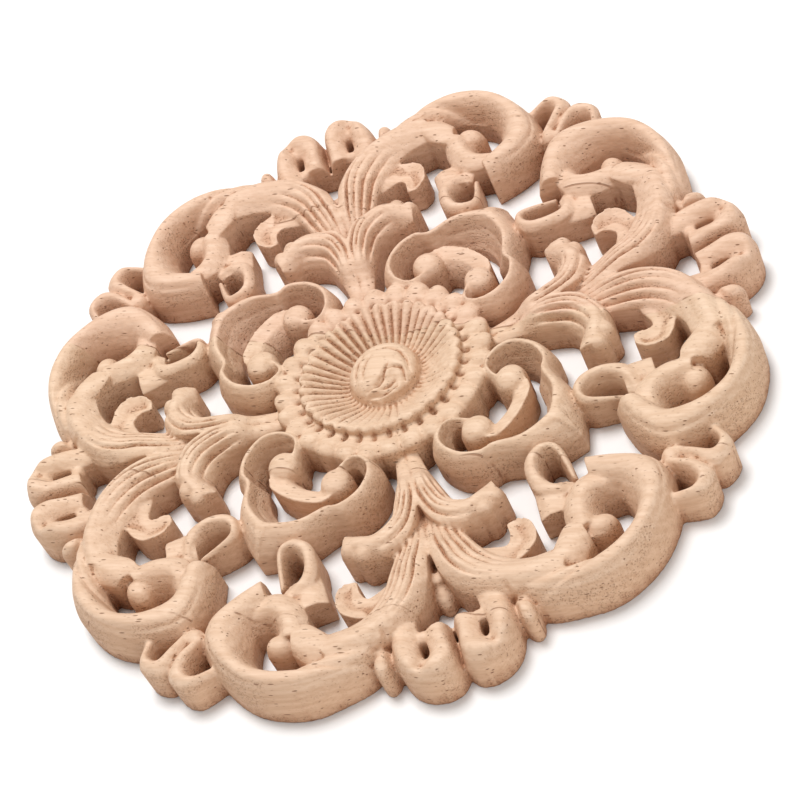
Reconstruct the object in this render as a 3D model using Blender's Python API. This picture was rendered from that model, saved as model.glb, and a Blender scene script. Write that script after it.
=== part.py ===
"""Round carved wood applique, pierced, in one piece, lying on its flat back.

The pattern has four arms. Each arm is the same on both sides of its stem, so every band is drawn once
for one eighth of the circle, then mirrored and turned. Plan points are in millimetres, in the frame of
the arm that points along -Y: x is the distance from the stem, y runs down the stem. The eighth lies
between the stem (x = 0) and the diagonal (x = -y). The back is z = 0 and +Z comes out of the carving.
"""
import math

import bmesh
import bpy
from mathutils import Vector

MM = 0.001
ARMS = 4
ROSETTE_RING_RADIUS = 29.3
ROSETTE_RIM_RADIUS = 21.5
BUD_RADIUS = 9.3
LOBES = 28
FACET_ANGLE_DEGREES = 18.0
WOOD_COLOUR = (0.62, 0.42, 0.29, 1.0)
WOOD_ROUGHNESS = 0.62


class Section:
    """Cross-section of a band: a crest or hollow between edge A and edge B, with flutes cut in it.

    Power 2 gives a rounded side, and a negative power a hollow one.
    """

    def __init__(self, across, crest=0.5, power_a=2.0, power_b=2.0, flutes=0, depth=0.0):
        self.across = across
        self.crest = crest
        self.power_a = power_a
        self.power_b = power_b
        self.flutes = flutes
        self.depth = depth

    def height(self, u, edge_a, middle, edge_b):
        if u < self.crest:
            start, power, way = edge_a, self.power_a, u / self.crest
        else:
            start, power, way = edge_b, self.power_b, (1 - u) / (1 - self.crest)
        share = 1 - (1 - way) ** power if power > 0 else way ** -power
        flute = self.depth * 0.5 * (1 - math.cos(2 * math.pi * self.flutes * u))
        return start + (middle - start) * share - flute


def spaced(count):
    return [step / count for step in range(count + 1)]


ROUND = Section([0, 0.3, 0.7, 1], power_a=2.4)
TROUGH = Section([0, 0.2, 0.55, 1], crest=0.55)
TUBE = Section([0, 0.15, 0.45, 0.8, 1], crest=0.45, power_a=2.4, power_b=2.2)
RIM = Section([0, 0.2, 0.55, 1], crest=0.55, power_a=1.9, power_b=-1.3)
SHELL = Section([0, 0.2, 0.5, 1], crest=0.5, power_a=2.2, power_b=1.5)
PETAL = Section([0, 0.14, 0.42, 1], crest=0.42, power_a=2.2, power_b=2.0)
LEAF = Section(spaced(4), crest=0.35, power_b=1.5, flutes=2, depth=1.0)
LEAF_END = Section(spaced(4), crest=0.4, flutes=2, depth=0.9)


def band(stations, section):
    """Closed solid from the back up to a carved top, between two edges.

    A station is (ax, ay, bx, by, height at A, height at the crest, height at B).
    """
    rings = []
    for ax, ay, bx, by, edge_a, middle, edge_b in stations:
        ring = [(ax, ay, 0.0)]
        for u in section.across:
            top = section.height(u, edge_a, middle, edge_b)
            ring.append((ax + (bx - ax) * u, ay + (by - ay) * u, top))
        ring.append((bx, by, 0.0))
        rings.append(ring)
    size = len(rings[0])
    points = [point for ring in rings for point in ring]
    faces = [tuple(range(size)), tuple((len(rings) - 1) * size + k for k in reversed(range(size)))]
    for index in range(len(rings) - 1):
        for k in range(size):
            here = index * size
            after = (k + 1) % size
            faces.append((here + k, here + size + k, here + size + after, here + after))
    return points, faces


def bud(centre, radii, turn_degrees, rings, sides=10):
    """Closed knob: an ellipse from the back up, with rings of (share of radius, height) on top."""
    turn = math.radians(turn_degrees)
    points = []
    for share, height in [(1.0, 0.0)] + rings:
        for k in range(sides):
            angle = 2 * math.pi * k / sides
            x = radii[0] * share * math.cos(angle)
            y = radii[1] * share * math.sin(angle)
            points.append((centre[0] + x * math.cos(turn) - y * math.sin(turn),
                           centre[1] + x * math.sin(turn) + y * math.cos(turn), height))
    faces = [tuple(range(sides)), tuple(len(rings) * sides + k for k in reversed(range(sides)))]
    for index in range(len(rings)):
        for k in range(sides):
            after = (k + 1) % sides
            here = index * sides
            faces.append((here + k, here + after, here + sides + after, here + sides + k))
    return points, faces


def scroll():
    """Large C-scroll on the rim: a tube-like band, round on its outer side and round the eye."""
    return band([
        (12, -79, 14, -72, 6, 10, 8),
        (20, -88, 20, -79, 6.5, 12, 8),
        (30, -90.8, 30, -82, 6.5, 13.8, 7.5),
        (40, -90.7, 40, -81.8, 6.5, 14.6, 7),
        (50.5, -85.3, 46, -78.5, 6.5, 15, 6.5),
        (57.3, -76, 48.5, -73.5, 6.5, 15, 6),
        (60, -66.5, 48, -69, 6.5, 14.8, 6),
        (58, -59.8, 46.5, -65.5, 6.5, 14.3, 6),
        (50, -55, 44, -63.8, 7, 13.8, 6),
        (41.5, -52.7, 41.3, -61.5, 8, 13.3, 7.5),
    ], TUBE)


def scroll_eye():
    """Inner turn of the C-scroll: it runs on from the blunt end, round a bowl, to the leaf."""
    return band([
        (45, -57.5, 46.5, -66, 10, 10.5, 3.5),
        (38.3, -58.8, 43.3, -66, 10, 12, 4),
        (34.2, -62.8, 42.3, -67.5, 9, 12.3, 4),
        (32.6, -68.3, 42, -69.8, 9, 12.3, 4.5),
        (33.5, -75, 42, -72.5, 9, 12, 6),
    ], SHELL)


def outer_leaf():
    """Long fluted leaf from the stem to the C-scroll."""
    return band([
        (-0.4, -40, 4, -39, 6, 7, 6),
        (-0.4, -54.5, 6.8, -54, 8.5, 9.5, 7.5),
        (-0.3, -61.5, 9.3, -60.5, 11, 12.2, 8.5),
        (0.6, -67, 11.4, -65.5, 12, 14, 9.5),
        (1.9, -73, 14, -70, 11, 14.5, 9.5),
        (6, -79.6, 18.5, -74, 9, 14.5, 9.5),
        (14.5, -84.2, 23, -76, 10.5, 14.5, 10),
        (22, -85.6, 28, -76.5, 11.5, 14.5, 10.5),
        (29, -85.8, 33, -77, 11, 13.5, 11),
    ], LEAF)


def leaf_lobes():
    """Rounded lobes at the end and on the hole side of the outer leaf."""
    yield band([
        (27, -86.3, 29, -76, 10, 13.3, 11),
        (34, -83.5, 32.5, -72.5, 10, 13.3, 12),
        (38, -78.5, 36, -71.3, 10, 12.5, 11),
    ], ROUND)
    yield band([
        (36, -77, 37.5, -69, 9, 11, 10),
        (42.5, -75.5, 42, -70.8, 8, 10, 9.5),
    ], ROUND)
    yield band([
        (12.5, -75, 12, -66.5, 9, 9.5, 8),
        (20, -74, 17.3, -68.3, 9, 8, 8),
        (25, -70.5, 19, -66.8, 9.5, 7.5, 8.5),
        (25, -65, 19.3, -64.5, 9.5, 7.5, 9),
        (22, -62.3, 19, -62.8, 9, 8.5, 8.5),
    ], TROUGH)


def inner_leaf():
    """Short fluted leaf beside the rosette, curling away from the stem."""
    return band([
        (-0.4, -27, 3, -26, 6.5, 7, 6),
        (-0.4, -36, 4, -35, 8, 8.5, 7),
        (-0.4, -41.5, 5.4, -40, 11.5, 12.5, 9),
        (-0.3, -47.5, 6.6, -44, 12.5, 13.5, 10),
        (2.5, -55, 8.5, -48, 12, 13.5, 10),
        (8.5, -59.2, 13, -50.5, 9, 13, 10),
        (14.5, -58.8, 15.8, -49.6, 7, 12.5, 10.5),
        (20.2, -54.8, 19, -49.2, 6, 11.5, 11),
    ], LEAF_END)


def heart_band():
    """Broad band of the heart on the diagonal: it starts as a bead, turns and runs to the point."""
    yield band([
        (19.5, -26.8, 18.5, -30, 8, 10.5, 9),
        (13, -24.8, 14, -27.3, 9, 11.5, 8),
        (8, -28, 12, -30, 7.5, 12.3, 6),
        (6.5, -34, 12.8, -34, 6.5, 13, 4),
        (10.5, -40.8, 15.8, -36.8, 6, 13, 4),
        (17, -43.8, 19.8, -37.8, 6, 13, 4),
        (22, -42.8, 22.4, -36.6, 6.5, 12.6, 5.5),
        (30, -45.5, 28, -37, 6, 13, 4),
        (37, -44.8, 33, -35, 6, 13.3, 4),
        (43.3, -43, 36.2, -32, 6, 13.3, 4),
    ], RIM)
    yield bud((18.9, -30.8), (4.5, 4.3), 45, [(1.0, 8.5), (0.6, 11.5)], 7)


def heart_bowl():
    """Small crescent-shaped bowl inside the heart, across the diagonal."""
    return band([
        (20, -34.5, 18.5, -29, 10, 9.5, 6),
        (24, -35.2, 21.5, -29, 10, 9, 4),
        (29, -32.3, 24.8, -27.3, 10.3, 9, 4),
        (32.3, -29, 27.3, -24.8, 10.3, 9, 4),
        (35.2, -24, 29, -21.5, 10, 9, 4),
        (34.5, -20, 29, -18.5, 10, 9.5, 6),
    ], TROUGH)


def ring_curl():
    """Hollow curl between the heart and the C-scroll, with the stub that ties them."""
    yield band([
        (38.5, -57, 36.6, -56, 7.5, 8.5, 5),
        (37, -46.5, 35.2, -48.6, 9.5, 11, 7),
        (32.5, -44.5, 33.3, -47.6, 10, 12, 8),
        (28.3, -47, 31.6, -49.6, 10, 12, 8),
        (27, -52.5, 31.2, -53.4, 10, 12, 7.5),
        (28.5, -58.5, 32.9, -56, 9.5, 11, 7),
        (34, -61, 35.4, -57.2, 8.5, 10, 6.5),
        (38.5, -60, 36.8, -56.4, 8, 8.5, 5),
    ], ROUND)
    yield band([
        (27.5, -57, 37, -57, 8, 9.5, 8),
        (27, -65, 35.5, -65, 7, 9, 8),
    ], ROUND)


def palmette():
    """Half of the small palmette at the end of the stem: a tall lobe round a slot, and its knob."""
    yield band([
        (0.3, -84.3, 6.8, -85, 7, 10.5, 9),
        (0.3, -89, 6.6, -88.6, 6.5, 11.5, 9),
        (-0.3, -95, 6.5, -91, 6, 12.3, 9),
        (2, -99, 7, -92.3, 7.5, 13, 9),
        (6.2, -100, 7.5, -92.6, 8, 13.3, 9),
        (10.8, -98.3, 8, -92.2, 8, 13.3, 9),
        (14, -94.3, 8.4, -90.8, 8, 13, 9),
        (15.3, -88.5, 8.5, -88.3, 8, 12, 9),
        (15, -83, 8, -84.5, 8.5, 11, 9),
        (13, -77, 7.7, -79, 9, 10.5, 9),
    ], PETAL)
    yield bud((7.2, -85.8), (2.4, 1.9), 0, [(1.0, 9.2)], 5)
    yield bud((17.7, -88.5), (2.5, 4.4), 10, [(1.0, 8.5), (0.5, 10.6)], 6)


def stem_wedge():
    """Low wedge with a bead on it, in the fork between the two outer leaves."""
    return bud((0, -70), (3.2, 6.8), 0, [(1.0, 4.0), (0.5, 7.0)], 6)


def trefoil():
    """Two small cups, back to back on the diagonal, where the scrolls of two arms meet."""
    yield band([
        (60.5, -61.5, 58.5, -63.5, 8, 10, 6),
        (66.5, -66, 62, -67.8, 9, 11.8, 5),
        (69.3, -71, 63.5, -71, 9, 11.5, 5),
        (65, -76, 61.8, -72.5, 9, 11.3, 5),
        (57.3, -74.3, 58.5, -71.2, 8, 9.5, 5),
    ], ROUND)
    yield bud((61.3, -61.3), (2.6, 2.6), 0, [(1.0, 10.3)], 5)


def rosette():
    """Dished disc of radial flutes, its scalloped rim, a lower scalloped ring and a carved bud."""
    rings = [
        (ROSETTE_RING_RADIUS, 0.0, 0.5),
        (ROSETTE_RING_RADIUS, 9.8, 0.5),
        (ROSETTE_RING_RADIUS - 1.2, 11.2, 0.4),
        (ROSETTE_RIM_RADIUS + 1.2, 10.0, 0.3),
        (ROSETTE_RIM_RADIUS, 12.6, 0.4),
        (ROSETTE_RIM_RADIUS - 7, 9.4, 0.0),
        (BUD_RADIUS, 7.8, 0.0),
        (BUD_RADIUS - 0.8, 10.2, 0.0),
        (BUD_RADIUS - 4, 12.3, 0.0),
    ]
    sides = LOBES * 2
    points = []
    for radius, height, scallop in rings:
        for k in range(sides):
            angle = math.pi * k / LOBES
            reach = radius + scallop * (1 if k % 2 else -1)
            points.append((reach * math.cos(angle), reach * math.sin(angle), height))
    faces = [tuple(reversed(range(sides))), tuple((len(rings) - 1) * sides + k for k in range(sides))]
    for index in range(len(rings) - 1):
        for k in range(sides):
            here = index * sides
            after = (k + 1) % sides
            faces.append((here + k, here + after, here + sides + after, here + sides + k))
    return points, faces


def eighth():
    """Every band of one eighth, on the side x > 0 of the stem."""
    yield scroll()
    yield scroll_eye()
    yield outer_leaf()
    yield from leaf_lobes()
    yield inner_leaf()
    yield from heart_band()
    yield from ring_curl()
    yield from palmette()
    yield from trefoil()


def turned(points, quarter, mirror):
    cosine = round(math.cos(quarter * math.tau / ARMS))
    sine = round(math.sin(quarter * math.tau / ARMS))
    for x, y, z in points:
        side = -x if mirror else x
        yield Vector((side * cosine - y * sine, side * sine + y * cosine, z)) * MM


def new_object(name, points, faces):
    mesh = bpy.data.meshes.new(name)
    mesh.from_pydata(points, [], faces)
    edit = bmesh.new()
    edit.from_mesh(mesh)
    bmesh.ops.recalc_face_normals(edit, faces=edit.faces)
    edit.to_mesh(mesh)
    edit.free()
    piece = bpy.data.objects.new(name, mesh)
    return piece


def wood():
    material = bpy.data.materials.new("carved_wood")
    material.use_nodes = True
    shader = material.node_tree.nodes["Principled BSDF"]
    shader.inputs["Base Color"].default_value = WOOD_COLOUR
    shader.inputs["Roughness"].default_value = WOOD_ROUGHNESS
    shader.inputs["Metallic"].default_value = 0.0
    return material


def panel():
    """Join the rosette and every turned and mirrored band into one carved solid."""
    bands = bpy.data.collections.new("bands")
    bpy.context.scene.collection.children.link(bands)
    for points, faces in eighth():
        for quarter in range(ARMS):
            for mirror in (False, True):
                bands.objects.link(new_object("band", list(turned(points, quarter, mirror)), faces))
    for points, faces in (heart_bowl(), stem_wedge()):
        for quarter in range(ARMS):
            bands.objects.link(new_object("band", list(turned(points, quarter, False)), faces))
    points, faces = rosette()
    whole = new_object("carved_panel", [Vector(point) * MM for point in points], faces)
    bpy.context.scene.collection.objects.link(whole)
    union = whole.modifiers.new("one piece", 'BOOLEAN')
    union.operation = 'UNION'
    union.operand_type = 'COLLECTION'
    union.collection = bands
    union.solver = 'EXACT'
    bpy.context.view_layer.update()
    joined = bpy.data.meshes.new_from_object(whole.evaluated_get(bpy.context.evaluated_depsgraph_get()))
    whole.modifiers.clear()
    whole.data = joined
    thin = bmesh.new()
    thin.from_mesh(joined)
    bmesh.ops.dissolve_limit(thin, angle_limit=math.radians(FACET_ANGLE_DEGREES),
                             verts=thin.verts, edges=thin.edges)
    thin.to_mesh(joined)
    thin.free()
    for piece in list(bands.objects):
        bpy.data.objects.remove(piece)
    bpy.data.collections.remove(bands)
    whole.data.materials.clear()
    whole.data.materials.append(wood())
    return whole


def clear_scene():
    for piece in list(bpy.data.objects):
        bpy.data.objects.remove(piece)


clear_scene()
panel()
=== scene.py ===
"""Looks of the round carved applique: one pierced piece of pale wood, lying on its flat back.

Plan points are in millimetres in the frame of the arm that points along -Y: x is the distance from the
stem and y runs down the stem. Every band is drawn once for one eighth, mirrored and turned, then all of
them are fused with fine voxels, softened as a carver's sandpaper does, and given the wood.
"""
import math

import bmesh
import bpy
import numpy as np
from mathutils import Matrix, Vector


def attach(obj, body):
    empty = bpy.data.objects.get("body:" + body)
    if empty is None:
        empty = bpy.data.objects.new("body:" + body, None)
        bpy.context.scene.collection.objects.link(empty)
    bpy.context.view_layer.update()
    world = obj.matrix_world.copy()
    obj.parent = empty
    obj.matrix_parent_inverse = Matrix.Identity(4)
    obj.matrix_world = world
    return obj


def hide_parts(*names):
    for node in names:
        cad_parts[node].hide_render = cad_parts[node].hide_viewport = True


MM = 0.001
ARMS = 4
VOXEL = 0.38 * MM
MOST_TRIANGLES = 190000
SOFTENING_PASSES = 2
BACK_SNAP = 0.35 * MM
HAND_WOBBLE = 0.28
KNIFE_WIDTH = 0.36
BUD_KNIFE_WIDTH = 0.42
STEP_WIDTH = 0.75
VALLEY_WIDTH = 0.8
KNOB_VALLEY_WIDTH = 0.7
RING_RADIUS = 29.3
RIM_RADIUS = 21.5
BUD_RADIUS = 9.3
RING_LOBES = 28
RIM_LOBES = 34
DISC_FLUTES = 46
ROSETTE_SIDES = 840
SCALLOP_DEPTH = 1.3
SCALLOP_MIDDLE = 0.8
LOWEST_CUT = 5.0
HOLLOW_DEPTH = 9.0
HEIGHT_CELLS = 220
GRAIN_DEGREES = -23.0
BOARD_WIDTH = 45.0
BOARD_OFFSET = 31.5
CAMERA_AZIMUTH = 0.155566
CAMERA_ELEVATION = 0.784432
CAMERA_ROLL = -0.481860
CAMERA_DISTANCE = 611.96
CAMERA_FOCAL_PIXELS = 2360.685
CAMERA_SHIFT = (1.38173, -1.52276)
FLOOR_GAP = 0.1 * MM
FRAME_PIXELS = 800
SENSOR = 36.0


class Section:
    """Cross-section of a band from edge A to edge B: a crest or hollow, with flutes cut in it.

    Power 2 gives a rounded side, and a negative power a hollow one. Flutes fill the part of the width
    in reach. Along the band they start, are full and are gone at the three shares in fade.
    """

    def __init__(self, crest, power_a, power_b, flutes=0, depth=0.0, reach=(0, 1), fade=(0, 0.5, 1)):
        self.crest = crest
        self.power_a = power_a
        self.power_b = power_b
        self.flutes = flutes
        self.depth = depth
        self.reach = reach
        self.fade = fade

    def share(self, rise, power):
        return 1 - (1 - rise) ** power if power > 0 else rise ** -power

    def strength(self, along):
        return np.interp(along, self.fade, [0, 1, 0])

    def heights(self, u, along, ends):
        rise = np.where(u < self.crest, u / self.crest, (1 - u) / (1 - self.crest))
        share = np.where(u < self.crest, self.share(rise, self.power_a), self.share(rise, self.power_b))
        start = np.where(u[None, :] < self.crest, ends[:, 0:1], ends[:, 2:3])
        height = start + (ends[:, 1:2] - start) * share[None, :]
        if self.flutes:
            low, high = self.reach
            way = np.clip((u - low) / (high - low), 0, 1)
            cut = 1 - np.abs(np.sin(math.pi * self.flutes * way))
            cut = cut * (0.75 + 0.25 * np.cos(2.4 * np.round(self.flutes * way)))
            cut = np.where((u < low - 0.03) | (u > high), 0, cut)
            height = height - self.depth * self.strength(along)[:, None] * cut[None, :]
        return height


ROUND = Section(0.5, 2.2, 2.2)
TROUGH = Section(0.55, 1.4, 1.6)
SCROLL = Section(0.45, 2.4, 2.2)
HEART = Section(0.55, 1.9, -1.3)
EYE = Section(0.5, 2.2, 1.8)
PETAL = Section(0.42, 2.2, 2.0)
LEAF = Section(0.35, 2.0, 1.5, flutes=4, depth=1.5, reach=(0.27, 1.0), fade=(0.1, 0.35, 0.72))
LEAF_END = Section(0.4, 2.0, 2.0, flutes=4, depth=1.4, reach=(0.2, 1.0), fade=(0.25, 0.45, 0.8))


def smooth_path(stations, steps):
    """Catmull-Rom curve through the stations, with the given steps between neighbours."""
    rows = np.array(stations, float)
    padded = np.vstack([rows[:1], rows, rows[-1:]])
    path = []
    for index in range(1, len(padded) - 2):
        p, q, r, s = padded[index - 1:index + 3]
        for t in np.arange(steps) / steps:
            path.append(0.5 * (2 * q + (r - p) * t + (2 * p - 5 * q + 4 * r - s) * t * t
                               + (3 * q - p - 3 * r + s) * t ** 3))
    path.append(rows[-1])
    return np.array(path)


def band(stations, section, steps=8, across=16, dents=()):
    """Closed solid from the back up to a carved top. A station is (ax, ay, bx, by, zA, crest, zB)."""
    path = smooth_path(stations, steps)
    u = 0.5 - 0.5 * np.cos(math.pi * np.arange(across + 1) / across)
    along = np.linspace(0, 1, len(path))
    flat = path[:, None, 0:2] + (path[:, None, 2:4] - path[:, None, 0:2]) * u[None, :, None]
    height = section.heights(u, along, path[:, 4:7])
    for x, y, radius, depth in dents:
        away = np.hypot(flat[:, :, 0] - x, flat[:, :, 1] - y) / radius
        height = height - depth * np.exp(-away ** 2)
    top = np.concatenate([flat, height[:, :, None]], axis=2)
    foot_a = np.concatenate([flat[:, :1], np.zeros((len(path), 1, 1))], axis=2)
    foot_b = np.concatenate([flat[:, -1:], np.zeros((len(path), 1, 1))], axis=2)
    rings = np.concatenate([foot_a, top, foot_b], axis=1)
    size = rings.shape[1]
    faces = [tuple(range(size)), tuple((len(path) - 1) * size + k for k in reversed(range(size)))]
    for index in range(len(path) - 1):
        here = index * size
        for k in range(size):
            after = (k + 1) % size
            faces.append((here + k, here + size + k, here + size + after, here + after))
    return rings.reshape(-1, 3), faces


def bud(centre, radii, turn_degrees, rings, sides=24):
    """Closed knob: an ellipse from the back up, with rings of (share of radius, height) on top."""
    turn = math.radians(turn_degrees)
    shares = smooth_path([(share, height) for share, height in rings], 4)
    points = []
    for share, height in [(1.0, 0.0)] + [tuple(row) for row in shares]:
        for k in range(sides):
            angle = math.tau * k / sides
            x = radii[0] * share * math.cos(angle)
            y = radii[1] * share * math.sin(angle)
            points.append((centre[0] + x * math.cos(turn) - y * math.sin(turn),
                           centre[1] + x * math.sin(turn) + y * math.cos(turn), height))
    last = len(shares) * sides
    faces = [tuple(range(sides)), tuple(last + k for k in reversed(range(sides)))]
    for index in range(len(shares)):
        here = index * sides
        for k in range(sides):
            after = (k + 1) % sides
            faces.append((here + k, here + after, here + sides + after, here + sides + k))
    return np.array(points), faces


SCROLL_STATIONS = [
    (12, -79, 14, -72, 6, 10, 8),
    (20, -88, 20, -79, 6.5, 12, 8),
    (30, -90.8, 30, -82, 6.5, 13.8, 7.5),
    (40, -90.7, 40, -81.8, 6.5, 14.6, 7),
    (50.5, -85.3, 46, -78.5, 6.5, 15, 6.5),
    (57.3, -76, 48.5, -73.5, 6.5, 15, 6),
    (60, -66.5, 48, -69, 6.5, 14.8, 6),
    (58, -59.8, 46.5, -65.5, 6.5, 14.3, 6),
    (50, -55, 44, -63.8, 7, 13.8, 6),
    (41.5, -52.7, 41.3, -61.5, 8, 13.3, 7.5),
]
OUTER_LEAF_STATIONS = [
    (-0.4, -40, 4, -39, 6, 7, 6),
    (-0.4, -54.5, 6.8, -54, 8.5, 9.5, 7.5),
    (-0.3, -61.5, 9.3, -60.5, 11, 12.2, 8.5),
    (0.6, -67, 11.4, -65.5, 12, 14, 9.5),
    (1.9, -73, 14, -70, 11, 14.5, 9.5),
    (6, -79.6, 18.5, -74, 9, 14.5, 9.5),
    (14.5, -84.2, 23, -76, 10.5, 14.5, 10),
    (22, -85.6, 28, -76.5, 11.5, 14.5, 10.5),
    (29, -85.8, 33, -77, 11, 13.5, 11),
]
INNER_LEAF_STATIONS = [
    (-0.4, -27, 3, -26, 6.5, 7, 6),
    (-0.4, -36, 4, -35, 8, 8.5, 7),
    (-0.4, -41.5, 5.4, -40, 11.5, 12.5, 7),
    (-0.3, -47.5, 6.6, -44, 12.5, 13.5, 7.5),
    (2.5, -55, 8.5, -48, 12, 13.5, 6.5),
    (8.5, -59.2, 13, -50.5, 9, 13.3, 6.5),
    (14.5, -58.8, 15.8, -49.6, 7, 12.8, 8),
    (20.2, -54.8, 19, -49.2, 6, 11.5, 10),
]
HEART_STATIONS = [
    (19.5, -26.8, 18.5, -30, 8, 10.5, 9),
    (13, -24.8, 14, -27.3, 9, 11.5, 8),
    (8, -28, 12, -30, 7.5, 12.3, 6),
    (6.5, -34, 12.8, -34, 6.5, 13, 4),
    (10.5, -40.8, 15.8, -36.8, 6, 13, 4),
    (17, -43.8, 19.8, -37.8, 6, 13, 4),
    (22, -42.8, 22.4, -36.6, 6.5, 12.6, 5.5),
    (30, -45.5, 28, -37, 6, 13, 4),
    (37, -44.8, 33, -35, 6, 13.3, 4),
    (43.3, -43, 36.2, -32, 6, 13.3, 4),
]


def scroll():
    """Large C-scroll on the rim: a tube-like band, round on its outer side and round the eye."""
    return band(SCROLL_STATIONS, SCROLL, across=24)


def scroll_eye():
    """Inner turn of the C-scroll, broad and rounded, down to the leaf."""
    return band([
        (45, -57.5, 46.5, -66, 10, 10.5, 3.5),
        (38.3, -58.8, 43.3, -66, 10, 12, 4),
        (34.2, -62.8, 42.3, -67.5, 9, 12.3, 4),
        (32.6, -68.3, 42, -69.8, 9, 12.3, 4.5),
        (33.5, -75, 42, -72.5, 9, 12, 6),
    ], EYE)


def outer_leaf():
    """Long fluted leaf from the stem to the C-scroll."""
    return band(OUTER_LEAF_STATIONS, LEAF, steps=10, across=44)


def leaf_lobes():
    """Rounded lobes at the end and on the hole side of the outer leaf."""
    yield band([
        (27, -86.3, 29, -76, 10, 13.3, 11),
        (34, -83.5, 32.5, -72.5, 10, 13.3, 12),
        (38, -78.5, 36, -71.3, 10, 12.5, 11),
    ], ROUND)
    yield bud((40.6, -73.6), (4.4, 3.6), 20, [(1.0, 6.0), (0.85, 8.6), (0.5, 10.4), (0.05, 11.0)])
    yield band([
        (12.5, -75, 12, -66.5, 9, 9.5, 8),
        (20, -74, 17.3, -68.3, 9, 8, 8),
        (25, -70.5, 19, -66.8, 9.5, 7.5, 8.5),
        (25, -65, 19.3, -64.5, 9.5, 7.5, 9),
        (22, -62.3, 19, -62.8, 9, 8.5, 8.5),
    ], TROUGH)


def inner_leaf():
    """Short fluted leaf beside the rosette, with the lobes of its end wall."""
    yield band(INNER_LEAF_STATIONS, LEAF_END, steps=10, across=36)
    for x, y, turn in ((18.4, -54.0, 40), (15.2, -56.6, 75), (10.4, -57.0, 110)):
        yield bud((x, y), (2.7, 3.0), turn, [(1.0, 8.0), (0.85, 10.0), (0.5, 11.6), (0.05, 12.1)])


def heart_band():
    """Broad band of the heart on the diagonal, with the bead it starts from."""
    yield band(HEART_STATIONS, HEART, across=24)
    yield bud((18.9, -30.8), (4.5, 4.3), 45, [(1.0, 8.0), (0.8, 10.4), (0.4, 11.6), (0.05, 11.9)])


def heart_bowl():
    """Crescent-shaped bowl inside the heart, across the diagonal."""
    return band([
        (20, -34.5, 18.5, -29, 10, 9.5, 6),
        (24, -35.2, 21.5, -29, 10, 9, 4),
        (29, -32.3, 24.8, -27.3, 10.3, 9, 4),
        (32.3, -29, 27.3, -24.8, 10.3, 9, 4),
        (35.2, -24, 29, -21.5, 10, 9, 4),
        (34.5, -20, 29, -18.5, 10, 9.5, 6),
    ], TROUGH)


def ring_curl():
    """Hollow curl between the heart and the C-scroll, with the stub that ties them."""
    yield band([
        (38.5, -57, 36.6, -56, 7.5, 8.5, 5),
        (37, -46.5, 35.2, -48.6, 9.5, 11, 7),
        (32.5, -44.5, 33.3, -47.6, 10, 12, 8),
        (28.3, -47, 31.6, -49.6, 10, 12, 8),
        (27, -52.5, 31.2, -53.4, 10, 12, 7.5),
        (28.5, -58.5, 32.9, -56, 9.5, 11, 7),
        (34, -61, 35.4, -57.2, 8.5, 10, 6.5),
        (38.5, -60, 36.8, -56.4, 8, 8.5, 5),
    ], ROUND)
    yield band([
        (27.5, -57, 37, -57, 8, 9.5, 8),
        (27, -65, 35.5, -65, 7, 9, 8),
    ], ROUND)


def palmette():
    """Half of the small palmette at the end of the stem: a tall lobe round a slot, and its knob."""
    yield band([
        (0.3, -84.3, 6.8, -85, 7, 10.5, 9),
        (0.3, -89, 6.6, -88.6, 6.5, 11.5, 9),
        (-0.3, -95, 6.5, -91, 6, 12.3, 9),
        (2, -99, 7, -92.3, 7.5, 13, 9),
        (6.2, -100, 7.5, -92.6, 8, 13.3, 9),
        (10.8, -98.3, 8, -92.2, 8, 13.3, 9),
        (14, -94.3, 8.4, -90.8, 8, 13, 9),
        (15.3, -88.5, 8.5, -88.3, 8, 12, 9),
        (15, -83, 8, -84.5, 8.5, 11, 9),
        (13, -77, 7.7, -79, 9, 10.5, 9),
    ], PETAL, dents=[(8.9, -95.4, 1.9, 2.6)])
    yield bud((7.2, -85.8), (2.4, 1.9), 0, [(1.0, 7.5), (0.7, 9.0), (0.05, 9.6)], sides=16)
    yield bud((17.7, -88.5), (2.5, 4.4), 10, [(1.0, 7.0), (0.85, 9.0), (0.5, 10.4), (0.05, 10.8)])


def stem_wedge():
    """Low wedge with a bead on it, in the fork between the two outer leaves."""
    yield bud((0, -70), (3.2, 6.8), 0, [(1.0, 3.5), (0.75, 5.5), (0.4, 6.8), (0.05, 7.2)])
    yield bud((0, -70.3), (1.5, 1.9), 0, [(1.0, 7.6), (0.7, 8.6), (0.05, 9.0)], sides=14)


def trefoil():
    """Small cups, back to back on the diagonal, where the scrolls of two arms meet."""
    yield band([
        (60.5, -61.5, 58.5, -63.5, 8, 10, 6),
        (66.5, -66, 62, -67.8, 9, 11.8, 5),
        (69.3, -71, 63.5, -71, 9, 11.5, 5),
        (65, -76, 61.8, -72.5, 9, 11.3, 5),
        (57.3, -74.3, 58.5, -71.2, 8, 9.5, 5),
    ], ROUND)
    yield bud((61.3, -61.3), (2.6, 2.6), 0, [(1.0, 8.5), (0.6, 10.3), (0.05, 10.6)], sides=14)


def groove(x, y, corners, width):
    """Depth of a groove along a drawn line of (x, y, depth) corners, at each point."""
    nearest = np.full(x.shape, 1e9)
    depth = np.zeros(x.shape)
    for (ax, ay, start), (bx, by, end) in zip(corners, corners[1:]):
        share = ((x - ax) * (bx - ax) + (y - ay) * (by - ay)) / ((bx - ax) ** 2 + (by - ay) ** 2)
        share = np.clip(share, 0, 1)
        away = np.hypot(x - ax - share * (bx - ax), y - ay - share * (by - ay))
        depth = np.where(away < nearest, start + (end - start) * share, depth)
        nearest = np.minimum(nearest, away)
    return depth * np.exp(-(nearest / width) ** 2)


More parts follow.
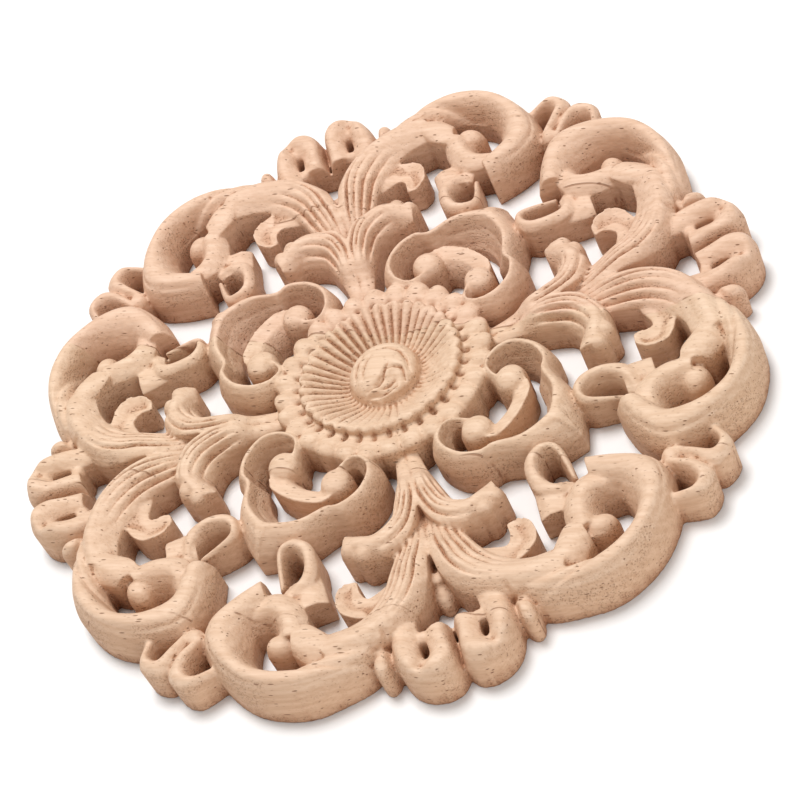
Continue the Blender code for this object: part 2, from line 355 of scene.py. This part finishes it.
def line_in_band(stations, place, depth, strength=None):
    """Corners of a groove that follows a band at one place across its width."""
    path = smooth_path(stations, 4)
    along = np.linspace(0, 1, len(path))
    scale = strength(along) if strength else np.minimum(1, 6 * np.minimum(along, 1 - along))
    flat = path[:, 0:2] + (path[:, 2:4] - path[:, 0:2]) * place
    return [(x, y, depth * share) for (x, y), share in zip(flat, scale)]


def eighth_grooves():
    """Knife lines of one eighth, with their widths: in the leaves, along the scroll and the heart."""
    for stations, section in ((OUTER_LEAF_STATIONS, LEAF), (INNER_LEAF_STATIONS, LEAF_END)):
        low, high = section.reach
        for k in range(section.flutes):
            place = low + (high - low) * k / section.flutes
            depth = 1.0 + 0.4 * math.cos(2.4 * k)
            yield line_in_band(stations, place, depth, section.strength), KNIFE_WIDTH
    yield [(14.6, -84, 0.9), (16.6, -86.2, 1.2), (20, -87.5, 1.1), (24, -87.9, 0.9), (28.5, -87.7, 0.8),
           (33, -86.6, 0.9), (37, -84.9, 1.1), (41, -82.7, 1.3), (46, -79.3, 1.1)], STEP_WIDTH
    yield [(0, -84, 1.2), (0, -91, 2.2), (0, -97, 2.2), (0, -100, 1.2)], VALLEY_WIDTH
    yield [(15.3, -83, 1.2), (15.9, -88.5, 1.6), (15.4, -93.5, 1.2)], KNOB_VALLEY_WIDTH
    yield line_in_band(SCROLL_STATIONS, 0.2, 0.45), KNIFE_WIDTH
    yield line_in_band(HEART_STATIONS, 0.7, 0.5), KNIFE_WIDTH


BUD_CUTS = [
    [(-1.5, 5.6, 0.4), (3.2, 4.4, 0.8), (5.5, 2.2, 1.1), (6.7, -1.1, 1.1), (6.8, -4.2, 0.5)],
    [(-5.2, -6.2, 0.5), (-2, -5.8, 1.3), (-0.3, -4.6, 1.5), (1, -2.6, 1.2), (2.2, -0.8, 0.4)],
    [(-5.4, -7.2, 0.6), (-2.6, -8.0, 1.3), (0.1, -7.9, 1.4), (2.7, -7.3, 0.9)],
    [(-1.6, -6.9, 0.4), (0.8, -6.6, 1.0), (2.4, -5.9, 0.6)],
    [(4.9, -3.2, 1.4), (5.2, -4.2, 1.2), (5.0, -6.4, 0.7)],
    [(1, -2.6, 0.8), (3.0, -2.4, 0.9), (4.9, -3.2, 1.4)],
    [(-3.6, 5.0, 0.5), (-5.4, 3.0, 0.9), (-6.6, 0.4, 0.9), (-7.2, -2.4, 0.4)],
    [(-1.6, 3.6, 0.3), (-3.4, 1.6, 0.7), (-4.6, -0.8, 0.7), (-5.2, -3.4, 0.3)],
]


def bud_hollow(x, y):
    """Depth of the open lip low in the bud."""
    along = (x - 0.9) * 0.92 + (y + 6.0) * 0.38
    across = (y + 6.0) * 0.92 - (x - 0.9) * 0.38
    return 1.3 * np.exp(-(along / 3.2) ** 4 - (across / 1.7) ** 4)


def disc_flutes(radius, angle):
    """Phase and strength of the radial flutes, bold in the upper left and nearly worn away low down."""
    phase = 0.5 * DISC_FLUTES * angle + 0.5 * np.sin(2 * angle) + 0.2 * np.sin(9 * angle)
    bold = 0.62 + 0.5 * np.cos(angle - 2.2) + 0.14 * np.sin(7 * angle)
    window = np.interp(radius, [8.5, 10.5, 18, 21.5, 21.8], [0.3, 1, 1, 0.4, 0])
    return np.abs(np.sin(phase)), np.clip(bold, 0.15, 1.2) * window


def disc_height(radius, angle):
    """Carving inside the rosette's rim: a domed bud, then radial flutes up the dish."""
    dish = np.interp(radius, [0, 9, 11, 14.5, 18, 20.3, 21.5], [6.6, 6.6, 7.2, 9.2, 11.5, 12.7, 12.7])
    wave, strength = disc_flutes(radius, angle)
    dish = dish - 1.3 * (1 - wave) * strength
    bud_top = 8 + 4.8 * np.clip(1 - (radius / BUD_RADIUS) ** 3, 0, 1) ** 0.6
    bud_top = bud_top - bud_hollow(radius * np.cos(angle), radius * np.sin(angle))
    return np.maximum(dish, np.where(radius < BUD_RADIUS, bud_top, 0))


def ring_height(radius, angle):
    """Carving of the lower ring: rounded lobes, and a drilled pit in each notch of the rim."""
    out = (radius - RIM_RADIUS) / (RING_RADIUS - RIM_RADIUS)
    height = np.interp(out, [0, 0.2, 0.5, 0.75, 0.93, 1], [9.8, 10.3, 11.2, 11.5, 11.0, 10.0])
    valley = 1 - np.abs(np.sin(0.5 * RING_LOBES * angle)) ** 0.7
    height = height - 2.0 * valley * np.clip(out * 1.2, 0, 1)
    pit = np.exp(-((radius - RIM_RADIUS - 1.4) / 0.9) ** 2) * np.cos(0.5 * RIM_LOBES * angle) ** 8
    return height - (2.4 + 0.8 * np.sin(5 * angle + 1)) * pit


def rosette():
    """Dished disc of radial flutes with a carved bud, its scalloped rim and a lower scalloped ring."""
    sides = ROSETTE_SIDES
    angle = math.tau * np.arange(sides) / sides
    ring_scallop = np.abs(np.sin(0.5 * RING_LOBES * angle)) ** 0.6
    rim_scallop = np.abs(np.sin(0.5 * RIM_LOBES * angle)) ** 0.6
    ring_reach = SCALLOP_DEPTH * (ring_scallop - SCALLOP_MIDDLE)
    rim_reach = SCALLOP_DEPTH * (rim_scallop - SCALLOP_MIDDLE)
    rim_drop = 0.7 * (1 - rim_scallop)
    rings = [(RING_RADIUS + ring_reach, 0 * angle)]
    for radius in np.arange(RING_RADIUS, RIM_RADIUS + 0.4, -0.4):
        out = (radius - RIM_RADIUS) / (RING_RADIUS - RIM_RADIUS)
        rings.append((radius + ring_reach * out, ring_height(radius + 0 * angle, angle)))
    for radius, height in ((RIM_RADIUS + 0.3, 9.6), (RIM_RADIUS + 0.3, 11.4), (RIM_RADIUS, 12.3)):
        rings.append((radius + rim_reach, height - rim_drop))
    for radius in np.arange(RIM_RADIUS - 0.5, 0.3, -0.3):
        near = np.clip((radius - RIM_RADIUS + 3) / 3, 0, 1)
        rings.append((radius + rim_reach * near, disc_height(radius + 0 * angle, angle) - rim_drop * near))
    points = np.concatenate([np.stack([reach * np.cos(angle), reach * np.sin(angle), height], axis=1)
                             for reach, height in rings])
    last = (len(rings) - 1) * sides
    faces = [tuple(reversed(range(sides))), tuple(last + k for k in range(sides))]
    for index in range(len(rings) - 1):
        here = index * sides
        for k in range(sides):
            after = (k + 1) % sides
            faces.append((here + k, here + after, here + sides + after, here + sides + k))
    return points, faces


def eighth():
    """Every band of one eighth, on the side x > 0 of the stem."""
    yield scroll()
    yield scroll_eye()
    yield outer_leaf()
    yield from leaf_lobes()
    yield from inner_leaf()
    yield from heart_band()
    yield from ring_curl()
    yield from palmette()
    yield from trefoil()


def quarter_pieces():
    """Bands that stand once in each quarter."""
    yield heart_bowl()
    yield from stem_wedge()


def turned(points, quarter, mirror):
    """Points moved to another arm, and to the other side of its stem if mirror is true."""
    cosine = round(math.cos(quarter * math.tau / ARMS))
    sine = round(math.sin(quarter * math.tau / ARMS))
    x = -points[:, 0] if mirror else points[:, 0]
    y = points[:, 1]
    return np.stack([x * cosine - y * sine, x * sine + y * cosine, points[:, 2]], axis=1)


def all_bands():
    """Join every turned and mirrored band in one mesh of overlapping closed solids."""
    points = []
    faces = []
    count = 0

    def add(new_points, new_faces):
        nonlocal count
        points.append(new_points)
        faces.extend(tuple(count + k for k in face) for face in new_faces)
        count += len(new_points)

    for band_points, band_faces in eighth():
        for quarter in range(ARMS):
            add(turned(band_points, quarter, False), band_faces)
            add(turned(band_points, quarter, True), band_faces)
    for band_points, band_faces in quarter_pieces():
        for quarter in range(ARMS):
            add(turned(band_points, quarter, False), band_faces)
    add(*rosette())
    mesh = bpy.data.meshes.new("bands")
    mesh.from_pydata(np.concatenate(points) * MM, [], faces)
    edit = bmesh.new()
    edit.from_mesh(mesh)
    bmesh.ops.recalc_face_normals(edit, faces=edit.faces)
    edit.to_mesh(mesh)
    edit.free()
    return mesh


def modified(mesh, kind, settings):
    """The mesh after one modifier."""
    piece = bpy.data.objects.new("work", mesh)
    bpy.context.scene.collection.objects.link(piece)
    step = piece.modifiers.new(kind, kind)
    for name, value in settings.items():
        setattr(step, name, value)
    bpy.context.view_layer.update()
    result = bpy.data.meshes.new_from_object(piece.evaluated_get(bpy.context.evaluated_depsgraph_get()))
    bpy.data.objects.remove(piece)
    return result


def places(mesh):
    """Every point of the mesh, one row each."""
    flat = np.empty(len(mesh.vertices) * 3)
    mesh.vertices.foreach_get("co", flat)
    return flat.reshape(-1, 3)


def set_places(mesh, points):
    mesh.vertices.foreach_set("co", points.ravel())
    mesh.update()


def neighbours(mesh, count):
    """The two ends of every edge, and how many edges meet at each point."""
    ends = np.empty(len(mesh.edges) * 2, dtype=np.int64)
    mesh.edges.foreach_get("vertices", ends)
    one, other = ends[0::2], ends[1::2]
    return one, other, np.bincount(one, minlength=count) + np.bincount(other, minlength=count)


def mean_around(values, one, other, meeting):
    """Mean of a value over the neighbours of each point."""
    size = len(values)
    total = np.bincount(one, weights=values[other], minlength=size)
    return (total + np.bincount(other, weights=values[one], minlength=size)) / meeting


def soften(mesh):
    """Round every edge a little, less on the rosette, and keep the back flat."""
    points = places(mesh)
    edges = neighbours(mesh, len(points))
    radius = np.hypot(points[:, 0], points[:, 1]) / MM
    strength = np.interp(radius, [21, 30], [0.25, 0.5])
    for _ in range(SOFTENING_PASSES):
        mean = np.stack([mean_around(points[:, axis], *edges) for axis in range(3)], axis=1)
        points = points + (mean - points) * strength[:, None]
    points[:, 2] = np.where(points[:, 2] < BACK_SNAP, 0, points[:, 2])
    set_places(mesh, points)


def cut_grooves(mesh):
    """Lower the top along every knife line, and between the flutes and petals of the rosette."""
    points = places(mesh)
    x = points[:, 0] / MM
    y = points[:, 1] / MM
    folded_x = np.minimum(np.abs(x), np.abs(y))
    folded_y = -np.maximum(np.abs(x), np.abs(y))
    cut = np.zeros(len(points))
    for corners, width in eighth_grooves():
        limits = np.array(corners)
        near = ((folded_x > limits[:, 0].min() - 1.5) & (folded_x < limits[:, 0].max() + 1.5)
                & (folded_y > limits[:, 1].min() - 1.5) & (folded_y < limits[:, 1].max() + 1.5))
        found = groove(folded_x[near], folded_y[near], corners, width)
        cut[near] = np.maximum(cut[near], found)
    radius = np.hypot(x, y)
    wave, strength = disc_flutes(radius, np.arctan2(y, x))
    across = wave * radius / (0.5 * DISC_FLUTES)
    inside = (radius > BUD_RADIUS + 0.3) & (radius < RIM_RADIUS + 0.3)
    cut = np.where(inside, strength * np.exp(-(across / KNIFE_WIDTH) ** 2), cut)
    near = radius < BUD_RADIUS
    for corners in BUD_CUTS:
        found = groove(x[near], y[near], corners, BUD_KNIFE_WIDTH)
        cut[near] = np.maximum(cut[near], found)
    top = np.clip((points[:, 2] / MM - LOWEST_CUT) / 3, 0, 1)
    points[:, 2] -= cut * top * MM
    set_places(mesh, points)


def wobble(mesh):
    """Move the carving a fraction of a millimetre, as no two hand-cut scrolls are the same."""
    points = places(mesh)
    x = points[:, 0] / MM
    y = points[:, 1] / MM
    along = np.sin(x / 6.3 + 1.3) * np.cos(y / 8.1) + 0.6 * np.sin((x + 2 * y) / 17.0)
    across = np.cos(x / 7.4) * np.sin(y / 6.9 + 0.4) + 0.6 * np.sin((2 * x - y) / 19.0 + 2)
    keep = np.clip((101 - np.maximum(np.abs(x), np.abs(y))) / 12, 0, 1)
    points[:, 0] += HAND_WOBBLE * MM * along * keep
    points[:, 1] += HAND_WOBBLE * MM * across * keep
    set_places(mesh, points)


def mark_hollows(mesh):
    """Store on each point how sunk it is: in a groove, or deep between higher parts of the carving. The
    wood paints shade from this value and also places burrs with it.
    """
    points = places(mesh) / MM
    normals = np.empty(len(points) * 3)
    mesh.vertices.foreach_get("normal", normals)
    normals = normals.reshape(-1, 3)
    edges = neighbours(mesh, len(points))
    mean = np.stack([mean_around(points[:, axis], *edges) for axis in range(3)], axis=1)
    bend = ((mean - points) * normals).sum(axis=1)
    for _ in range(2):
        bend = 0.5 * bend + 0.5 * mean_around(bend, *edges)
    grooved = np.clip((bend - 0.01) / 0.11, 0, 1)

    column = np.clip((points[:, 0] + HEIGHT_CELLS / 2).astype(int), 0, HEIGHT_CELLS - 1)
    row = np.clip((points[:, 1] + HEIGHT_CELLS / 2).astype(int), 0, HEIGHT_CELLS - 1)
    top = np.zeros((HEIGHT_CELLS, HEIGHT_CELLS))
    np.maximum.at(top, (row, column), points[:, 2])
    for _ in range(10):
        for axis in (0, 1):
            top = 0.5 * top + 0.25 * (np.roll(top, 1, axis) + np.roll(top, -1, axis))
    sunk = np.clip((top[row, column] - points[:, 2]) / HOLLOW_DEPTH, 0, 1)
    hollow = 1 - (1 - grooved) * (1 - sunk)
    mesh.attributes.new("hollow", 'FLOAT', 'POINT').data.foreach_set("value", hollow)


def carved_mesh():
    """The whole carving as one closed mesh: fused, softened, cut, and thinned to its triangle limit."""
    fused = modified(all_bands(), 'REMESH', {"mode": 'VOXEL', "voxel_size": VOXEL, "adaptivity": 0.0})
    soften(fused)
    cut_grooves(fused)
    wobble(fused)
    triangles = sum(len(face.vertices) - 2 for face in fused.polygons)
    carved = modified(fused, 'DECIMATE', {"ratio": min(1.0, MOST_TRIANGLES / triangles)})
    carved.polygons.foreach_set("use_smooth", [True] * len(carved.polygons))
    mark_hollows(carved)
    return carved


class Graph:
    """Short calls for the nodes of one material. Points are in millimetres, x along the grain."""

    def __init__(self, name):
        self.material = bpy.data.materials.new(name)
        self.material.use_nodes = True
        self.tree = self.material.node_tree
        self.shader = self.tree.nodes["Principled BSDF"]

    def put(self, target, value):
        if isinstance(value, bpy.types.NodeSocket):
            self.tree.links.new(value, target)
        else:
            target.default_value = value

    def math(self, operation, one, other=0.0):
        made = self.tree.nodes.new("ShaderNodeMath")
        made.operation = operation
        self.put(made.inputs[0], one)
        self.put(made.inputs[1], other)
        return made.outputs[0]

    def ramp(self, value, low, high, start=0.0, end=1.0):
        """Value between low and high, spread smoothly from start to end."""
        made = self.tree.nodes.new("ShaderNodeMapRange")
        made.interpolation_type = 'SMOOTHSTEP'
        for index, entry in enumerate((value, low, high, start, end)):
            self.put(made.inputs[index], entry)
        return made.outputs[0]

    def stretched(self, points, scale, turn_degrees=0.0):
        made = self.tree.nodes.new("ShaderNodeMapping")
        made.inputs["Rotation"].default_value = (0, 0, math.radians(turn_degrees))
        made.inputs["Scale"].default_value = scale
        self.put(made.inputs["Vector"], points)
        return made.outputs[0]

    def noise(self, points, scale=1.0, detail=2.0, roughness=0.5):
        made = self.tree.nodes.new("ShaderNodeTexNoise")
        self.put(made.inputs["Vector"], points)
        made.inputs["Scale"].default_value = scale
        made.inputs["Detail"].default_value = detail
        made.inputs["Roughness"].default_value = roughness
        return made.outputs["Fac"]

    def cells(self, points, scale=1.0):
        made = self.tree.nodes.new("ShaderNodeTexVoronoi")
        self.put(made.inputs["Vector"], points)
        made.inputs["Scale"].default_value = scale
        return made.outputs["Distance"], made.outputs["Color"]

    def split(self, points):
        made = self.tree.nodes.new("ShaderNodeSeparateXYZ")
        self.put(made.inputs[0], points)
        return made.outputs

    def tint(self, share, one, other):
        """Colour one where share is 0, other where it is 1."""
        made = self.tree.nodes.new("ShaderNodeMix")
        made.data_type = 'RGBA'
        self.put(made.inputs["Factor"], share)
        self.put(made.inputs["A"], one)
        self.put(made.inputs["B"], other)
        return made.outputs["Result"]

    def darken(self, colour, share, shade):
        """The colour multiplied by shade where share is 1."""
        made = self.tree.nodes.new("ShaderNodeMix")
        made.data_type = 'RGBA'
        made.blend_type = 'MULTIPLY'
        self.put(made.inputs["Factor"], share)
        self.put(made.inputs["A"], colour)
        self.put(made.inputs["B"], shade)
        return made.outputs["Result"]

    def bump(self, height, strength, distance):
        made = self.tree.nodes.new("ShaderNodeBump")
        made.inputs["Strength"].default_value = strength
        made.inputs["Distance"].default_value = distance
        self.put(made.inputs["Height"], height)
        return made.outputs["Normal"]


def wood():
    """Pale raw hardwood: glued boards, growth lines, short dark pores, and burrs left by the cutter, with
    painted shade in the grooves and recesses and, in part, on the steep walls.
    """
    graph = Graph("pale_hardwood")
    place = graph.tree.nodes.new("ShaderNodeTexCoord").outputs["Object"]
    grain = graph.stretched(graph.stretched(place, (1, 1, 1), -GRAIN_DEGREES), (1 / MM, 1 / MM, 1 / MM))
    wander = graph.noise(graph.stretched(grain, (0.02, 0.05, 0.05)), detail=1.0)
    across = graph.split(grain)[1]

    board = graph.math('DIVIDE', graph.math('ADD', across, BOARD_OFFSET), BOARD_WIDTH)
    board_number = graph.math('FLOOR', board)
    board_tone = graph.math('FRACT', graph.math('MULTIPLY', graph.math('SINE', board_number), 43.7))
    from_seam = graph.math('MULTIPLY', graph.math('PINGPONG', board, 0.5), BOARD_WIDTH)
    seam_dash = graph.noise(graph.stretched(grain, (0.12, 0.4, 0.4)), detail=1.0)
    seam = graph.math('MULTIPLY', graph.ramp(from_seam, 0.08, 0.3, 1.0, 0.0),
                      graph.ramp(seam_dash, 0.45, 0.62))

    height = graph.split(grain)[2]
    rings_at = graph.math('ADD', graph.math('MULTIPLY', across, 0.55), graph.math('MULTIPLY', height, 0.9))
    rings_at = graph.math('ADD', rings_at, graph.math('MULTIPLY', wander, 16.0))
    rings = graph.math('MULTIPLY', graph.math('SINE', graph.math('MULTIPLY', rings_at, 2.2)), 0.5)
    rings = graph.math('ADD', rings, 0.5)
    fibre = graph.noise(graph.stretched(grain, (0.07, 1.3, 1.3)), detail=4.0, roughness=0.6)
    patches = graph.noise(graph.stretched(grain, (0.025, 0.06, 0.06)), detail=2.0)

    pore_distance, pore_colour = graph.cells(graph.stretched(grain, (0.2, 0.95, 0.95)))
    pore_size = graph.ramp(graph.split(pore_colour)[0], 0.1, 1.0, 0.03, 0.24)
    pores = graph.ramp(graph.math('DIVIDE', pore_distance, pore_size), 0.5, 1.0, 1.0, 0.0)
    fine_distance, fine_colour = graph.cells(graph.stretched(grain, (0.42, 2.1, 2.1)))
    fine_pores = graph.math('MULTIPLY', graph.ramp(fine_distance, 0.08, 0.24, 1.0, 0.0),
                            graph.ramp(graph.split(fine_colour)[1], 0.42, 0.55))

    facing = graph.split(graph.tree.nodes.new("ShaderNodeNewGeometry").outputs["Normal"])[2]
    # Steep walls, from the upward part of the normal: rougher, and browner partly from cutter burn and
    # partly as painted shade.
    wall = graph.ramp(facing, 0.15, 0.7, 1.0, 0.0)
    # How sunk each point is: the mask of the painted shade in grooves and recesses, and part of the burr
    # mask.
    sunk = graph.tree.nodes.new("ShaderNodeAttribute")
    sunk.attribute_name = "hollow"
    hollow = graph.ramp(sunk.outputs["Fac"], 0.1, 0.9)
    burr_distance = graph.cells(grain, 1.7)[0]
    burr_patch = graph.noise(grain, 0.09, detail=1.0)
    steep = graph.ramp(facing, 0.2, 0.9, 1.0, 0.0)
    burred = graph.math('MULTIPLY', graph.ramp(burr_patch, 0.4, 0.6), steep)
    burred = graph.math('MAXIMUM', burred, graph.ramp(sunk.outputs["Fac"], 0.25, 0.5))
    burrs = graph.math('MULTIPLY', burred, graph.ramp(burr_distance, 0.1, 0.5, 1.0, 0.0))

    colour = graph.tint(patches, (0.70, 0.495, 0.35, 1), (0.735, 0.545, 0.395, 1))
    colour = graph.tint(graph.math('MULTIPLY', board_tone, 0.55), colour, (0.73, 0.475, 0.36, 1))
    colour = graph.darken(colour, graph.math('MULTIPLY', rings, 0.5), (0.88, 0.83, 0.78, 1))
    colour = graph.darken(colour, graph.ramp(fibre, 0.35, 0.7, 0.0, 0.7), (0.86, 0.80, 0.75, 1))
    # Walls browner: partly the burnt, open end grain the cutter leaves there, partly painted shade on the
    # steep sides that face away from the light above.
    colour = graph.darken(colour, graph.math('MULTIPLY', wall, 0.55), (0.84, 0.69, 0.56, 1))
    # Painted shade: darker brown in the grooves and deep between the higher parts of the carving, where
    # the light does not reach.
    colour = graph.darken(colour, graph.math('MULTIPLY', hollow, 0.85), (0.58, 0.38, 0.26, 1))
    colour = graph.darken(colour, graph.math('MULTIPLY', burrs, 0.55), (0.6, 0.47, 0.38, 1))
    colour = graph.darken(colour, graph.math('MULTIPLY', pores, 0.85), (0.42, 0.30, 0.23, 1))
    colour = graph.darken(colour, graph.math('MULTIPLY', fine_pores, 0.5), (0.6, 0.48, 0.4, 1))
    colour = graph.darken(colour, graph.math('MULTIPLY', seam, 0.8), (0.5, 0.36, 0.28, 1))
    graph.put(graph.shader.inputs["Base Color"], colour)

    rough = graph.math('ADD', graph.math('MULTIPLY', fibre, 0.22), graph.math('MULTIPLY', wall, 0.14))
    rough = graph.math('ADD', rough, graph.math('MULTIPLY', pores, 0.1))
    graph.put(graph.shader.inputs["Roughness"], graph.math('ADD', rough, 0.48))
    graph.shader.inputs["Specular IOR Level"].default_value = 0.32

    tool = graph.noise(grain, 0.42, detail=1.0)
    chips = graph.noise(graph.stretched(grain, (0.5, 1.0, 1.0)), 1.1, detail=2.0)
    dips = graph.math('MAXIMUM', pores, graph.math('MULTIPLY', fine_pores, 0.5))
    dips = graph.math('MAXIMUM', dips, graph.math('MAXIMUM', burrs, seam))
    relief = graph.math('ADD', graph.math('MULTIPLY', tool, 0.28), graph.math('MULTIPLY', chips, 0.09))
    relief = graph.math('ADD', relief, graph.math('MULTIPLY', fibre, 0.05))
    relief = graph.math('SUBTRACT', relief, graph.math('MULTIPLY', dips, 0.16))
    graph.put(graph.shader.inputs["Normal"], graph.bump(relief, 1.0, 1.0 * MM))
    return graph.material


def floor():
    """Pale ground a hair under the flat back, so that the two never share a plane."""
    bpy.ops.mesh.primitive_plane_add(size=6.0, location=(0, 0, -FLOOR_GAP))
    ground = bpy.context.object
    ground.name = "floor"
    material = bpy.data.materials.new("pale_floor")
    material.use_nodes = True
    shader = material.node_tree.nodes["Principled BSDF"]
    shader.inputs["Base Color"].default_value = (0.85, 0.85, 0.85, 1)
    shader.inputs["Roughness"].default_value = 0.9
    ground.data.materials.append(material)


def camera_axes():
    """Right, up and back of the camera, in the frame of the object."""
    azimuth, elevation, roll = CAMERA_AZIMUTH, CAMERA_ELEVATION, CAMERA_ROLL
    back = Vector((math.sin(azimuth) * math.cos(elevation), -math.cos(azimuth) * math.cos(elevation),
                   math.sin(elevation)))
    level = Vector((math.cos(azimuth), math.sin(azimuth), 0))
    above = back.cross(level)
    right = math.cos(roll) * level + math.sin(roll) * above
    up = -math.sin(roll) * level + math.cos(roll) * above
    return right, up, back


def camera():
    """Camera at the photo's angle, for a square frame."""
    right, up, back = camera_axes()
    place = (back * CAMERA_DISTANCE + right * CAMERA_SHIFT[0] + up * CAMERA_SHIFT[1]) * MM
    data = bpy.data.cameras.new("camera")
    data.sensor_width = SENSOR
    data.lens = CAMERA_FOCAL_PIXELS * SENSOR / FRAME_PIXELS
    data.clip_start = 0.01
    view = bpy.data.objects.new("camera", data)
    view.matrix_world = Matrix(((right.x, up.x, back.x, place.x),
                                (right.y, up.y, back.y, place.y),
                                (right.z, up.z, back.z, place.z),
                                (0, 0, 0, 1)))
    bpy.context.scene.collection.objects.link(view)
    bpy.context.scene.camera = view


def softbox(name, direction, distance, size, power):
    data = bpy.data.lights.new(name, 'AREA')
    data.energy = power
    data.size = size
    box = bpy.data.objects.new(name, data)
    box.location = direction.normalized() * distance
    box.rotation_euler = box.location.to_track_quat('Z', 'Y').to_euler()
    bpy.context.scene.collection.objects.link(box)


def lights():
    """Broad key from the upper left, a wide fill from below right, and a bright studio round them."""
    right, up, back = camera_axes()
    softbox("key", up * 0.95 - right * 0.55 + back * 0.6, 1.4, 0.6, 17.5)
    softbox("fill", back * 0.9 + right * 0.5 - up * 0.2, 1.6, 1.4, 9)
    world = bpy.data.worlds.new("studio")
    world.use_nodes = True
    world.node_tree.nodes["Background"].inputs[0].default_value = (1, 0.99, 0.97, 1)
    world.node_tree.nodes["Background"].inputs[1].default_value = 0.5
    bpy.context.scene.world = world
    bpy.context.scene.view_settings.view_transform = 'Standard'


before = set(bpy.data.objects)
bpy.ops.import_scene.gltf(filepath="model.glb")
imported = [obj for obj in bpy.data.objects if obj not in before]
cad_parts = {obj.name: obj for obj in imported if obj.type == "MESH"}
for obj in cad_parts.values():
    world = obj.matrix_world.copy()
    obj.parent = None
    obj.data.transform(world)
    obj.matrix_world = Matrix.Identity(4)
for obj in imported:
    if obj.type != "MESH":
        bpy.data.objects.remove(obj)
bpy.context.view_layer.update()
panel = bpy.data.objects.new("carved_applique", carved_mesh())
bpy.context.scene.collection.objects.link(panel)
panel.data.materials.append(wood())
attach(panel, "root")
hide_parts("carved_panel")
floor()
camera()
lights()
